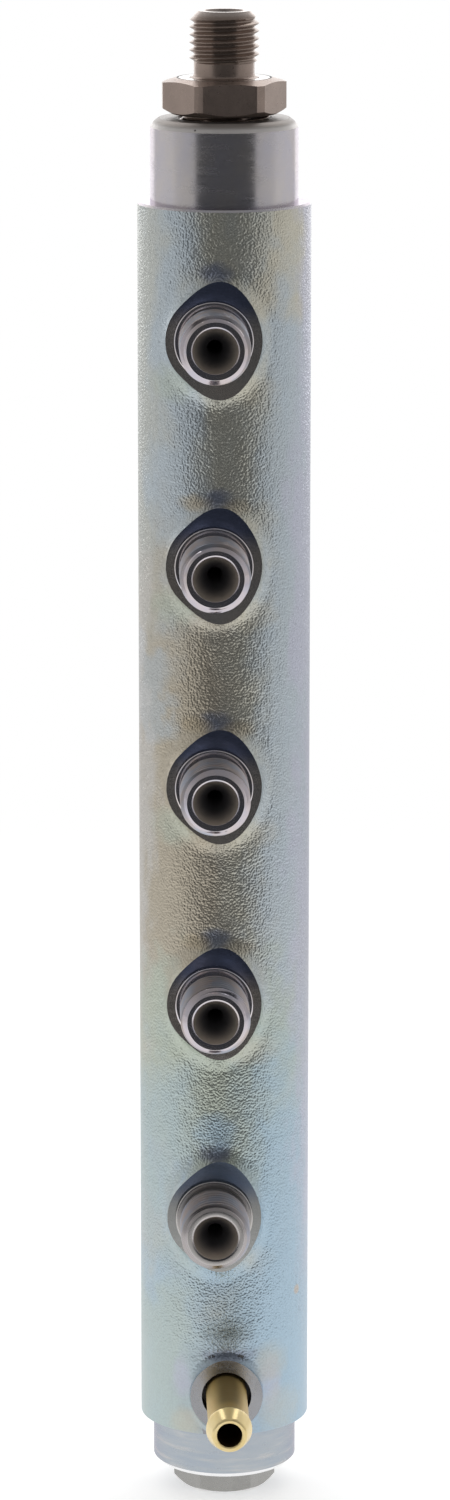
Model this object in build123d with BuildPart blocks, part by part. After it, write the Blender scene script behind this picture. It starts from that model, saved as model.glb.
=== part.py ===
from build123d import *

import os
from math import radians, tan

# A diesel common rail, upright: +Z runs along the rail's axis and the outlets face -Y.
# The origin is on that axis at the lower shoulder, where the lower journal meets the body.
# All sizes are in millimetres.

# Rail body
body_diameter = 34.3
body_length = 250.0
shoulder_chamfer = 0.4
journal_step = 2.55  # from the body's surface down to a journal's
journal_diameter = body_diameter - 2 * journal_step
upper_journal_length = 16.3
upper_journal_chamfer = 1.7
lower_journal_length = 10.3
lower_journal_chamfer = 1.0
main_bore_diameter = 10.6

# Outlets
outlet_count = 5
first_outlet_height = 46.7
last_outlet_depth = 25.3  # from the upper shoulder down to the last outlet
outlet_spacing = (body_length - first_outlet_height - last_outlet_depth) / (outlet_count - 1)
outlet_offset = 2.5  # the outlet axes pass beside the rail's axis, towards -X
boss_diameter = 18.9
boss_fillet = 5.0
flat_step = 0.8  # the machined flats stand this far in front of the body

# Nipples: M14 outside, a 60 degree cone inside
nipple_length = 14.0
collar_diameter = 15.6
collar_height = 1.25
collar_chamfer = 0.2
relief_width = 1.1
nipple_relief_diameter = 12.0
m14_diameter = 13.85
nipple_chamfer = 1.4
mouth_diameter = 9.1
mouth_chamfer = 0.25
mouth_cone_angle = 60.0
outlet_drill_diameter = 3.0

# Return barb
barb_height = 8.6
barb_pad_diameter = 14.7
barb_pad_fillet = 1.8
barb_recess_diameter = 10.1
barb_recess_depth = 4.4
barb_tube_diameter = 8.3
barb_bore_diameter = 5.0
barb_reach = 23.2  # from the machined pad to the barb's tip
barb_bead_diameter = 9.4
barb_bead_cone = 3.9
barb_bead_back = 1.1
barb_tip_diameter = 6.9
barb_edge_fillet = 0.3
barb_entry_gap = 0.6  # from the limiting valve's chamber to the barb's inner end

# Top adapter: hexagon, M14 stub above it and M18 shank below it
adapter_gap = 0.9  # from the journal's end face to the hexagon
hex_size = 22.0
hex_turned_diameter = 24.4
hex_height = 6.95
hex_turn = 4.4  # how far the hexagon was left turned when it was tightened, in degrees
hex_top_face_diameter = 18.7
hex_top_angle = 16.5
hex_bottom_face_diameter = 20.8
hex_chamfer_angle = 30.0
stub_neck_diameter = 11.9
stub_neck_length = 2.95
stub_neck_fillet = 0.9
stub_thread_length = 8.2
stub_chamfer_length = 1.85
stub_end_diameter = 10.4
stub_mouth_diameter = 8.0
stub_drill_diameter = 3.2
m18_diameter = 18.0
m18_thread_length = 12.6
adapter_socket_depth = 16.0
adapter_nose_diameter = 14.6
adapter_nose_chamfer = 1.0
thread_clearance = 0.05  # radial gap left in place of the screw threads' flanks
socket_chamfer = 0.5

# Pressure limiting valve in the lower end
m16_diameter = 16.0
plug_hex_size = 18.0
plug_hex_height = 5.0
plug_face_diameter = 18.0
housing_thread_length = 11.3
housing_slim_step = 1.8
housing_slim_diameter = m16_diameter - 2 * housing_slim_step
housing_collar_length = 2.5
housing_length = 24.8
housing_bore_diameter = 8.0
housing_floor = 6.7
housing_port_diameter = 2.4
housing_port_count = 4
housing_port_height = 6.0
seat_thickness = 4.0
seat_orifice_diameter = 2.4
seat_cone_diameter = 5.0
poppet_cone_gap = 0.2
poppet_tip_diameter = 1.2
poppet_neck_length = 1.5
poppet_guide_length = 3.5
poppet_guide_clearance = 0.03
poppet_flute_count = 3
poppet_flute_depth = 0.9
poppet_tail_diameter = 3.2
poppet_lift = 0.8
shim_thickness = 1.0
shim_clearance = 0.1
spring_wire = 1.3
spring_diameter = 7.2
spring_turns = 6.5
o_ring_groove_depth = 1.5
o_ring_groove_diameter = m16_diameter - 2 * o_ring_groove_depth
o_ring_groove_width = 2.2
o_ring_groove_depth_below_hex = 1.2
o_ring_clearance = 0.02

# Heights and planes that follow from them
flat_plane = body_diameter / 2 + flat_step
nipple_tip = flat_plane + nipple_length
outlet_heights = [first_outlet_height + i * outlet_spacing for i in range(outlet_count)]
outlet_places = [(-outlet_offset, height) for height in outlet_heights]
journal_top = body_length + upper_journal_length
journal_bottom = -lower_journal_length
socket_floor = journal_top - adapter_socket_depth
hex_bottom = journal_top + adapter_gap
hex_top = hex_bottom + hex_height
plug_bottom = journal_bottom - plug_hex_height
housing_top = journal_bottom + housing_length
chamber_top = housing_top + seat_thickness
housing_bore_floor = plug_bottom + housing_floor
shim_top = housing_bore_floor + shim_thickness
barb_floor = flat_plane - barb_recess_depth
cone_slope = tan(radians(mouth_cone_angle / 2))

os.makedirs("parts", exist_ok=True)


def cone_depth(wide, narrow):
    """Length of a mouth cone between two diameters."""
    return (wide - narrow) / 2 / cone_slope


# One nipple, on the Y axis, with its collar on the machined flat
with BuildPart() as nipple:
    with BuildSketch(Plane.XY) as nipple_profile:
        with BuildLine():
            Polyline(
                (0, -main_bore_diameter),
                (collar_diameter / 2, -main_bore_diameter),
                (collar_diameter / 2, -flat_plane - collar_height + collar_chamfer),
                (collar_diameter / 2 - collar_chamfer, -flat_plane - collar_height),
                (nipple_relief_diameter / 2, -flat_plane - collar_height),
                (nipple_relief_diameter / 2, -flat_plane - collar_height - relief_width),
                (m14_diameter / 2, -flat_plane - collar_height - 2 * relief_width),
                (m14_diameter / 2, -nipple_tip + nipple_chamfer),
                (m14_diameter / 2 - nipple_chamfer, -nipple_tip),
                (0, -nipple_tip),
                close=True,
            )
        make_face()
    revolve(axis=Axis.Y)

# The fuel's way into one nipple: lead-in, 60 degree cone and drilling to the main bore
with BuildPart() as outlet_drilling:
    with BuildSketch(Plane.XY):
        with BuildLine():
            lead_in_radius = mouth_diameter / 2 - mouth_chamfer
            cone_end = -nipple_tip + mouth_chamfer
            cone_end += cone_depth(2 * lead_in_radius, outlet_drill_diameter)
            Polyline(
                (0, -nipple_tip),
                (mouth_diameter / 2, -nipple_tip),
                (lead_in_radius, -nipple_tip + mouth_chamfer),
                (outlet_drill_diameter / 2, cone_end),
                (outlet_drill_diameter / 2, 0),
                (0, 0),
                close=True,
            )
        make_face()
    revolve(axis=Axis.Y)

# Rail body: forged blank, then everything that is machined into it
with BuildPart() as rail_body:
    with BuildSketch(Plane.XY.offset(journal_bottom)):
        Circle(body_diameter / 2)
    extrude(amount=journal_top - journal_bottom)

    # Forged bosses under the nipples, blended into the cylinder
    with BuildSketch(Plane.XZ):
        with Locations(*outlet_places):
            Circle(boss_diameter / 2)
    extrude(amount=flat_plane + boss_fillet)
    boss_roots = rail_body.edges(Select.LAST).filter_by(
        lambda edge: edge.geom_type not in (GeomType.CIRCLE, GeomType.LINE)
    )
    fillet(boss_roots, boss_fillet)

    # Smaller forged pad for the return barb
    with BuildSketch(Plane.XZ):
        with Locations((0, barb_height)):
            Circle(barb_pad_diameter / 2)
    extrude(amount=flat_plane + barb_pad_fillet)
    pad_root = rail_body.edges(Select.LAST).filter_by(
        lambda edge: edge.geom_type not in (GeomType.CIRCLE, GeomType.LINE)
    )
    fillet(pad_root, barb_pad_fillet)

    # Bosses and pad are milled to one plane
    with BuildSketch(Plane.XZ.offset(flat_plane)):
        with Locations((0, (journal_top + journal_bottom) / 2)):
            Rectangle(2 * body_diameter, journal_top - journal_bottom)
    extrude(amount=2 * boss_fillet, mode=Mode.SUBTRACT)

    # Journals are turned at both ends
    with BuildSketch(Plane.XY.offset(body_length)):
        Circle(body_diameter)
        Circle(journal_diameter / 2, mode=Mode.SUBTRACT)
    extrude(amount=upper_journal_length, mode=Mode.SUBTRACT)
    with BuildSketch(Plane.XY):
        Circle(body_diameter)
        Circle(journal_diameter / 2, mode=Mode.SUBTRACT)
    extrude(amount=-lower_journal_length, mode=Mode.SUBTRACT)

    with Locations(*[(-outlet_offset, 0, height) for height in outlet_heights]):
        add(nipple.part)

    # Bores and sockets on the rail's axis
    with BuildSketch(Plane.XZ):
        with BuildLine():
            Polyline(
                (0, journal_bottom),
                (m16_diameter / 2 + socket_chamfer, journal_bottom),
                (m16_diameter / 2, journal_bottom + socket_chamfer),
                (m16_diameter / 2, chamber_top),
                (main_bore_diameter / 2, chamber_top),
                (main_bore_diameter / 2, socket_floor),
                (m18_diameter / 2, socket_floor),
                (m18_diameter / 2, journal_top - socket_chamfer),
                (m18_diameter / 2 + socket_chamfer, journal_top),
                (0, journal_top),
                close=True,
            )
        make_face()
    revolve(axis=Axis.Z, mode=Mode.SUBTRACT)

    with Locations(*[(-outlet_offset, 0, height) for height in outlet_heights]):
        add(outlet_drilling.part, mode=Mode.SUBTRACT)

    # Recess and press bore for the barb
    with BuildSketch(Plane.XZ.offset(flat_plane)):
        with Locations((0, barb_height)):
            Circle(barb_recess_diameter / 2)
    extrude(amount=-barb_recess_depth, mode=Mode.SUBTRACT)
    with BuildSketch(Plane.XZ.offset(barb_floor)):
        with Locations((0, barb_height)):
            Circle(barb_tube_diameter / 2)
    extrude(amount=-barb_floor, mode=Mode.SUBTRACT)

    # Edges broken on the lathe
    rims = rail_body.edges().filter_by(GeomType.CIRCLE)
    upper_rim = rims.filter_by(
        lambda e: abs(e.radius - journal_diameter / 2) < 0.01 and e.center().Z > journal_top - 0.01
    )
    chamfer(upper_rim, upper_journal_chamfer)
    rims = rail_body.edges().filter_by(GeomType.CIRCLE)
    lower_rim = rims.filter_by(
        lambda e: abs(e.radius - journal_diameter / 2) < 0.01 and e.center().Z < journal_bottom + 0.01
    )
    chamfer(lower_rim, lower_journal_chamfer)
    rims = rail_body.edges().filter_by(GeomType.CIRCLE)
    shoulder_rim = rims.filter_by(
        lambda e: abs(e.radius - body_diameter / 2) < 0.01 and abs(e.center().Z - body_length) < 0.01
    )
    chamfer(shoulder_rim, shoulder_chamfer)
rail_body.part.label = "rail_body"
export_step(rail_body.part, "parts/rail_body.step")

# Top adapter
with BuildPart() as top_adapter:
    with BuildSketch(Plane.XY.offset(hex_bottom)):
        RegularPolygon(hex_size / 2, 6, major_radius=False, rotation=hex_turn)
    extrude(amount=hex_height)
    # The hexagon's corners are turned off round and chamfered above and below
    with BuildSketch(Plane.XZ):
        with BuildLine():
            turned_radius = hex_turned_diameter / 2
            top_drop = (turned_radius - hex_top_face_diameter / 2) * tan(radians(hex_top_angle))
            bottom_rise = turned_radius - hex_bottom_face_diameter / 2
            bottom_rise *= tan(radians(hex_chamfer_angle))
            Polyline(
                (0, hex_bottom),
                (hex_bottom_face_diameter / 2, hex_bottom),
                (turned_radius, hex_bottom + bottom_rise),
                (turned_radius, hex_top - top_drop),
                (hex_top_face_diameter / 2, hex_top),
                (0, hex_top),
                close=True,
            )
        make_face()
    revolve(axis=Axis.Z, mode=Mode.INTERSECT)
    # Stub above, shank below
    stub_top = hex_top + stub_neck_length + stub_thread_length + stub_chamfer_length
    shank_radius = m18_diameter / 2 - thread_clearance
    thread_end = hex_bottom - m18_thread_length
    with BuildSketch(Plane.XZ):
        with BuildLine():
            Polyline(
                (0, socket_floor),
                (adapter_nose_diameter / 2 - adapter_nose_chamfer, socket_floor),
                (adapter_nose_diameter / 2, socket_floor + adapter_nose_chamfer),
                (adapter_nose_diameter / 2, thread_end - adapter_nose_chamfer),
                (shank_radius, thread_end),
                (shank_radius, hex_bottom),
                (shank_radius, (hex_bottom + hex_top) / 2),
                (stub_neck_diameter / 2, (hex_bottom + hex_top) / 2),
                (stub_neck_diameter / 2, hex_top + stub_neck_length),
                (m14_diameter / 2, hex_top + stub_neck_length),
                (m14_diameter / 2, stub_top - stub_chamfer_length),
                (stub_end_diameter / 2, stub_top),
                (0, stub_top),
                close=True,
            )
        make_face()
    revolve(axis=Axis.Z)
    neck_root = top_adapter.edges().filter_by(GeomType.CIRCLE).filter_by(
        lambda e: abs(e.radius - stub_neck_diameter / 2) < 0.01 and abs(e.center().Z - hex_top) < 0.01
    )
    fillet(neck_root, stub_neck_fillet)
    # Mouth cone and drilling
    with BuildSketch(Plane.XZ):
        with BuildLine():
            cone_bottom = stub_top - cone_depth(stub_mouth_diameter, stub_drill_diameter)
            Polyline(
                (0, socket_floor),
                (stub_drill_diameter / 2, socket_floor),
                (stub_drill_diameter / 2, cone_bottom),
                (stub_mouth_diameter / 2, stub_top),
                (0, stub_top),
                close=True,
            )
        make_face()
    revolve(axis=Axis.Z, mode=Mode.SUBTRACT)
top_adapter.part.label = "top_adapter"
export_step(top_adapter.part, "parts/top_adapter.step")

# Return barb, pressed through the recess into the limiting valve's chamber
barb_tip = flat_plane + barb_reach
barb_inner_end = m16_diameter / 2 + barb_entry_gap
bead_crest = barb_tip - barb_bead_cone
with BuildPart() as return_barb:
    with BuildSketch(Plane.XY.offset(barb_height)):
        with BuildLine():
            Polyline(
                (barb_bore_diameter / 2, -barb_inner_end),
                (barb_tube_diameter / 2, -barb_inner_end),
                (barb_tube_diameter / 2, -bead_crest + barb_bead_back),
                (barb_bead_diameter / 2, -bead_crest),
                (barb_tip_diameter / 2, -barb_tip),
                (barb_bore_diameter / 2, -barb_tip),
                close=True,
            )
        make_face()
    revolve(axis=Axis((0, 0, barb_height), (0, 1, 0)))
    bead_edges = return_barb.edges().filter_by(GeomType.CIRCLE).filter_by(
        lambda e: abs(e.radius - barb_bead_diameter / 2) < 0.01
        or abs(e.radius - barb_tip_diameter / 2) < 0.01
    )
    fillet(bead_edges, barb_edge_fillet)
return_barb.part.label = "return_barb"
export_step(return_barb.part, "parts/return_barb.step")

# Pressure limiting valve: screwed housing with the hexagon that shows below the rail
housing_radius = m16_diameter / 2 - thread_clearance
with BuildPart() as limiter_housing:
    with BuildSketch(Plane.XY.offset(plug_bottom)):
        RegularPolygon(plug_hex_size / 2, 6, major_radius=False)
    extrude(amount=plug_hex_height)
    with BuildSketch(Plane.XZ):
        with BuildLine():
            corner_rise = (plug_hex_size - plug_face_diameter / 2) * tan(radians(hex_chamfer_angle))
            Polyline(
                (0, plug_bottom),
                (plug_face_diameter / 2, plug_bottom),
                (plug_hex_size, plug_bottom + corner_rise),
                (plug_hex_size, journal_bottom + corner_rise),
                (0, journal_bottom + corner_rise),
                close=True,
            )
        make_face()
    revolve(axis=Axis.Z, mode=Mode.INTERSECT)
    with BuildSketch(Plane.XZ):
        with BuildLine():
            groove_low = journal_bottom + o_ring_groove_depth_below_hex
            groove_high = groove_low + o_ring_groove_width
            thread_top = journal_bottom + housing_thread_length
            collar_low = housing_top - housing_collar_length
            Polyline(
                (0, journal_bottom),
                (housing_radius, journal_bottom),
                (housing_radius, groove_low),
                (o_ring_groove_diameter / 2, groove_low),
                (o_ring_groove_diameter / 2, groove_high),
                (housing_radius, groove_high),
                (housing_radius, thread_top),
                (housing_slim_diameter / 2, thread_top),
                (housing_slim_diameter / 2, collar_low),
                (housing_radius, collar_low),
                (housing_radius, housing_top),
                (0, housing_top),
                close=True,
            )
        make_face()
    revolve(axis=Axis.Z)
    with BuildSketch(Plane.XY.offset(housing_top)):
        Circle(housing_bore_diameter / 2)
    extrude(amount=housing_bore_floor - housing_top, mode=Mode.SUBTRACT)
    with Locations((0, 0, housing_port_height)):
        with PolarLocations(0, housing_port_count):
            Cylinder(
                housing_port_diameter / 2,
                housing_slim_diameter,
                rotation=(0, 90, 0),
                align=(Align.CENTER, Align.CENTER, Align.MIN),
                mode=Mode.SUBTRACT,
            )
limiter_housing.part.label = "limiter_housing"
export_step(limiter_housing.part, "parts/limiter_housing.step")

# Seat disc, clamped between the housing and the step in the rail
with BuildPart() as limiter_seat:
    with BuildSketch(Plane.XY.offset(housing_top)):
        Circle(m16_diameter / 2 - thread_clearance)
    extrude(amount=seat_thickness)
    with BuildSketch(Plane.XZ):
        with BuildLine():
            seat_cone_height = (seat_cone_diameter - seat_orifice_diameter) / 2
            Polyline(
                (0, housing_top),
                (seat_cone_diameter / 2, housing_top),
                (seat_orifice_diameter / 2, housing_top + seat_cone_height),
                (seat_orifice_diameter / 2, chamber_top),
                (0, chamber_top),
                close=True,
            )
        make_face()
    revolve(axis=Axis.Z, mode=Mode.SUBTRACT)
limiter_seat.part.label = "limiter_seat"
export_step(limiter_seat.part, "parts/limiter_seat.step")

# Poppet: cone, fluted guide and the tail that stops its lift on the shim
poppet_neck_radius = seat_cone_diameter / 2 - poppet_cone_gap
guide_radius = housing_bore_diameter / 2 - poppet_guide_clearance
guide_top = housing_top - poppet_neck_length
guide_bottom = guide_top - poppet_guide_length
with BuildPart() as limiter_poppet:
    with BuildSketch(Plane.XZ):
        with BuildLine():
            tip_height = housing_top + poppet_neck_radius - poppet_tip_diameter / 2
            Polyline(
                (0, shim_top + poppet_lift),
                (poppet_tail_diameter / 2, shim_top + poppet_lift),
                (poppet_tail_diameter / 2, guide_bottom),
                (guide_radius, guide_bottom),
                (guide_radius, guide_top),
                (poppet_neck_radius, guide_top),
                (poppet_neck_radius, housing_top),
                (poppet_tip_diameter / 2, tip_height),
                (0, tip_height),
                close=True,
            )
        make_face()
    revolve(axis=Axis.Z)
    with BuildSketch(Plane.XY.offset(guide_bottom)):
        with PolarLocations(2 * guide_radius - poppet_flute_depth, poppet_flute_count):
            Rectangle(2 * guide_radius, 4 * guide_radius)
    extrude(amount=poppet_guide_length, mode=Mode.SUBTRACT)
limiter_poppet.part.label = "limiter_poppet"
export_step(limiter_poppet.part, "parts/limiter_poppet.step")

# Closing spring with ground ends, between the shim and the poppet's guide
spring_length = guide_bottom - shim_top
with BuildPart() as limiter_spring:
    with BuildLine(Plane.XY.offset(shim_top)):
        coil_radius = (spring_diameter - spring_wire) / 2
        coil = Helix(spring_length / spring_turns, spring_length, coil_radius)
    with BuildSketch(Plane(origin=coil @ 0, z_dir=coil % 0)):
        Circle(spring_wire / 2)
    sweep()
    with BuildSketch(Plane.XY.offset(shim_top)):
        Circle(spring_diameter)
    extrude(amount=spring_length, mode=Mode.INTERSECT)
limiter_spring.part.label = "limiter_spring"
export_step(limiter_spring.part, "parts/limiter_spring.step")

# Shim under the spring
with BuildPart() as limiter_shim:
    with BuildSketch(Plane.XY.offset(housing_bore_floor)):
        Circle(housing_bore_diameter / 2 - shim_clearance)
    extrude(amount=shim_thickness)
limiter_shim.part.label = "limiter_shim"
export_step(limiter_shim.part, "parts/limiter_shim.step")

# O-ring in the housing's groove, drawn at its squeezed height
groove_radius = o_ring_groove_diameter / 2
o_ring_cord = m16_diameter / 2 - groove_radius - 2 * o_ring_clearance
groove_middle = journal_bottom + o_ring_groove_depth_below_hex + o_ring_groove_width / 2
with BuildPart() as limiter_o_ring:
    with BuildSketch(Plane.XZ):
        with Locations((groove_radius + o_ring_clearance + o_ring_cord / 2, groove_middle)):
            Circle(o_ring_cord / 2)
    revolve(axis=Axis.Z)
limiter_o_ring.part.label = "limiter_o_ring"
export_step(limiter_o_ring.part, "parts/limiter_o_ring.step")
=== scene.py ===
from math import cos, hypot, pi, radians, sin, tan, tau

import bmesh
import bpy
from mathutils import Matrix, Vector


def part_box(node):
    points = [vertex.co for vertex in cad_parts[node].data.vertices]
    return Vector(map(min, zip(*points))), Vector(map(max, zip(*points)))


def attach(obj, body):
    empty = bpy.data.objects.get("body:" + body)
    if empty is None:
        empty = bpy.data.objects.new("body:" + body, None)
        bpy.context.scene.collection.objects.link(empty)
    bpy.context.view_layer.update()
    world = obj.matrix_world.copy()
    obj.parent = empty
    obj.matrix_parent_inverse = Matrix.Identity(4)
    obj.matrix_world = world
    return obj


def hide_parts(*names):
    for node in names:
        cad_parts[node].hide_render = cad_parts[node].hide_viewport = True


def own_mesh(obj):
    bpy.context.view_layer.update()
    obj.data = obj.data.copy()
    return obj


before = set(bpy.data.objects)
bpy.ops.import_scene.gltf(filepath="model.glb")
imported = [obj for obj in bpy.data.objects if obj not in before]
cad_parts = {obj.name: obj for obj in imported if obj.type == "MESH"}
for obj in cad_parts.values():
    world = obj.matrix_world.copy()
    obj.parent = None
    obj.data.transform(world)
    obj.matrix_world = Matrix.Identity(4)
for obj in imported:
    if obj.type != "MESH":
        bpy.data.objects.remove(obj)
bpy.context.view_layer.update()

mm = 0.001
plugLow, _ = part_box("limiter_housing")
print("frame loaded")

# Places on the imported part that its shape, its stains and its painted shade all follow
places = {
    "outlets": 5,
    "firstOutlet": 46.7 * mm,
    "spacing": 44.5 * mm,
    "outletSide": -2.5 * mm,
    "barbHeight": 8.6 * mm,
}

# Camera, fitted to the shoulders and the ports of the photo
camera = {
    "photoHeight": 1500.0,      # pixels
    "focalPixels": 5233.07,
    "sensor": 36.0,
    "distance": 1053.15 * mm,   # to the point on the rail's axis that it looks at
    "lookHeight": 139.27 * mm,
    "pitch": radians(12.639),
    "turn": radians(1.5),       # it stands a little to the left of the outlets
    "sideStep": 0.15 * mm,
}


def placeCamera():
    away = camera["distance"] * cos(camera["pitch"])
    rise = camera["distance"] * sin(camera["pitch"])
    turn = camera["turn"]
    aim = Vector((0, 0, camera["lookHeight"]))
    place = aim + Vector((-away * sin(turn), -away * cos(turn), rise))
    data = bpy.data.cameras.new("photoCamera")
    data.sensor_width = camera["sensor"]
    data.lens = camera["focalPixels"] * camera["sensor"] / camera["photoHeight"]
    obj = bpy.data.objects.new("photoCamera", data)
    obj.rotation_euler = (aim - place).to_track_quat("-Z", "Y").to_euler()
    obj.location = place + Vector((cos(turn), -sin(turn), 0)) * camera["sideStep"]
    bpy.context.collection.objects.link(obj)
    bpy.context.scene.camera = obj


placeCamera()
print("camera placed")


# Node helpers
def feed(tree, socket, value):
    # a number, a vector or a colour is set on the socket, and anything else is linked to it
    if isinstance(value, (int, float, Vector)):
        socket.default_value = value
    elif isinstance(value, tuple):
        socket.default_value = (*value, 1)
    else:
        tree.links.new(value, socket)


def addNode(tree, kind, inputs, **settings):
    node = tree.nodes.new(kind)
    for name, value in settings.items():
        setattr(node, name, value)
    for key, value in inputs.items():
        feed(tree, node.inputs[key], value)
    return node.outputs


def combine(tree, how, first, second):
    return addNode(tree, "ShaderNodeMath", {0: first, 1: second}, operation=how)[0]


def times(tree, *values):
    product = values[0]
    for value in values[1:]:
        product = combine(tree, "MULTIPLY", product, value)
    return product


def spreadOf(tree, value, lowIn, highIn, lowOut=0.0, highOut=1.0, smooth=True):
    return addNode(tree, "ShaderNodeMapRange", {
        "Value": value, "From Min": lowIn, "From Max": highIn, "To Min": lowOut, "To Max": highOut,
    }, interpolation_type="SMOOTHSTEP" if smooth else "LINEAR")[0]


def axesOf(tree, vector):
    return addNode(tree, "ShaderNodeSeparateXYZ", {0: vector})


def lengthOf(tree, vector):
    return addNode(tree, "ShaderNodeVectorMath", {0: vector}, operation="LENGTH")["Value"]


# a Mix node has its own sockets for numbers, 2 and 3, and for colours, 6 and 7
def mixValues(tree, factor, first, second):
    return addNode(tree, "ShaderNodeMix", {0: factor, 2: first, 3: second})[0]


def mixColours(tree, factor, first, second, blend="MIX"):
    inputs = {0: factor, 6: first, 7: second}
    return addNode(tree, "ShaderNodeMix", inputs, data_type="RGBA", blend_type=blend)[2]


def mixShaders(tree, factor, first, second):
    return addNode(tree, "ShaderNodeMixShader", {0: factor, 1: first, 2: second})[0]


def glowOf(tree, strength, colour=(1, 1, 1)):
    return addNode(tree, "ShaderNodeEmission", {"Color": colour, "Strength": strength})[0]


# Studio: white world, two tall soft boxes, a light behind and one above, and a black card
# round the camera, which is what the smooth faces in front show
studio = {
    "low": 0.68,                # the world as metal and shadow see it, at eye level
    "high": 0.34,               # and overhead
    "dimming": (0.1, 1.0),      # it dims between these, upwards
    "behindCamera": 0.68,       # share of that on the camera's side
    "gain": 0.68,               # and what is added to the share towards the back
    "gaining": (-0.7, 0.9),     # it gains between these, backwards
    "tablePaint": (0.9, 0.9, 0.9),
    "tableFront": -0.28,        # the pale table ends here, out of the picture
    "tableSoft": -0.165,        # and metal sees it fade out from here
    "tableReach": 3.0,
    "tableFade": (0.15, 0.6),   # from here out it is as white as the background
    "tableLift": 0.42,
    "tableGlow": 0.95,          # what metal sees of it near the rail
    "cardDistance": 1.6,
    "cardAcross": (radians(-46.0), radians(47.7)),
    "cardHeight": (-2.0, 2.4),
    "cardGlow": 0.035,
    "cardColour": (0.85, 0.9, 1.0),
}
softBoxes = {
    # name: place, size, radiance, seen in metal
    "leftBox": ((-1.2, -0.55, 0.4), (0.9, 1.6), 1.1, False),
    "rightBox": ((1.2, -0.55, 0.4), (0.9, 1.6), 1.0, False),
    "backBox": ((0.0, 1.5, 0.45), (2.6, 0.9), 0.85, True),
    "topBox": ((0.0, 1.0, 1.35), (1.8, 1.1), 1.4, True),
}


def addLamp(name, place, size, radiance, inMetal):
    data = bpy.data.lights.new(name, "AREA")
    data.shape = "RECTANGLE"
    data.size, data.size_y = size
    data.energy = radiance * pi * size[0] * size[1]
    obj = bpy.data.objects.new(name, data)
    obj.location = place
    toRail = Vector((0, 0, camera["lookHeight"])) - Vector(place)
    obj.rotation_euler = toRail.to_track_quat("-Z", "Y").to_euler()
    obj.visible_camera = False
    obj.visible_glossy = inMetal
    bpy.context.collection.objects.link(obj)


def flatPanel(name, corners, material):
    mesh = bpy.data.meshes.new(name)
    mesh.from_pydata(corners, [], [(0, 1, 2, 3)])
    mesh.materials.append(material)
    obj = bpy.data.objects.new(name, mesh)
    bpy.context.collection.objects.link(obj)
    return obj


def stageMaterial(name):
    mat = bpy.data.materials.new(name)
    mat.use_nodes = True
    tree = mat.node_tree
    tree.nodes.remove(tree.nodes["Principled BSDF"])
    return mat, tree, tree.nodes["Material Output"].inputs["Surface"]


def tableMaterial():
    # pale paint that keeps the shadow, lifted to white for the camera and for metal,
    # and plain white glow away from the rail
    mat, tree, surface = stageMaterial("paleTable")
    rays = addNode(tree, "ShaderNodeLightPath", {})
    point = addNode(tree, "ShaderNodeTexCoord", {})["Object"]
    paint = addNode(tree, "ShaderNodeBsdfDiffuse", {"Color": studio["tablePaint"]})[0]
    lift = glowOf(tree, times(tree, rays["Is Camera Ray"], studio["tableLift"]))
    painted = addNode(tree, "ShaderNodeAddShader", {0: paint, 1: lift})[0]
    near = mixShaders(tree, rays["Is Glossy Ray"], painted, glowOf(tree, studio["tableGlow"]))
    far = glowOf(tree, mixValues(tree, rays["Is Camera Ray"], studio["low"], 1.0))
    fade = spreadOf(tree, lengthOf(tree, point), *studio["tableFade"])
    # towards the camera it fades out for metal
    edge = spreadOf(tree, axesOf(tree, point)[1], studio["tableSoft"], studio["tableFront"])
    clear = addNode(tree, "ShaderNodeBsdfTransparent", {})[0]
    table = mixShaders(tree, fade, near, far)
    tree.links.new(mixShaders(tree, times(tree, edge, rays["Is Glossy Ray"]), table, clear), surface)
    return mat


def cardMaterial():
    mat, tree, surface = stageMaterial("blackCard")
    tree.links.new(glowOf(tree, studio["cardGlow"], studio["cardColour"]), surface)
    return mat


def buildWorld():
    # white for the camera, and for the rest a soft grey that darkens overhead
    world = bpy.data.worlds.new("studioWorld")
    bpy.context.scene.world = world
    world.use_nodes = True
    tree = world.node_tree
    toSky = axesOf(tree, addNode(tree, "ShaderNodeTexCoord", {})["Generated"])
    dim = spreadOf(tree, toSky[2], *studio["dimming"], studio["low"], studio["high"])
    toBack = spreadOf(tree, toSky[1], *studio["gaining"], smooth=False)
    share = combine(tree, "ADD", times(tree, toBack, toBack, studio["gain"]), studio["behindCamera"])
    rays = addNode(tree, "ShaderNodeLightPath", {})
    background = tree.nodes["Background"].inputs
    feed(tree, background["Color"], (1, 1, 1))
    strength = mixValues(tree, rays["Is Camera Ray"], times(tree, dim, share), 1.0)
    tree.links.new(strength, background["Strength"])


def buildStudio():
    for name, box in softBoxes.items():
        addLamp(name, *box)

    ground, reach, front = plugLow.z, studio["tableReach"], studio["tableFront"]
    pale = tableMaterial()
    flatPanel("table", [(-reach, front, ground), (reach, front, ground),
                        (reach, reach, ground), (-reach, reach, ground)], pale)
    apron = flatPanel("tableApron", [(-reach, -reach, ground), (reach, -reach, ground),
                                     (reach, front, ground), (-reach, front, ground)], pale)
    apron.visible_glossy = False

    far = studio["cardDistance"]
    left, right = (far * tan(angle) for angle in studio["cardAcross"])
    low, high = studio["cardHeight"]
    card = flatPanel("blackCard", [(left, -far, low), (right, -far, low),
                                   (right, -far, high), (left, -far, high)], cardMaterial())
    for sight in ("visible_camera", "visible_diffuse", "visible_shadow", "visible_transmission"):
        setattr(card, sight, False)
    buildWorld()


buildStudio()
bpy.context.scene.view_settings.view_transform = "Standard"
print("studio lit")


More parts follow.
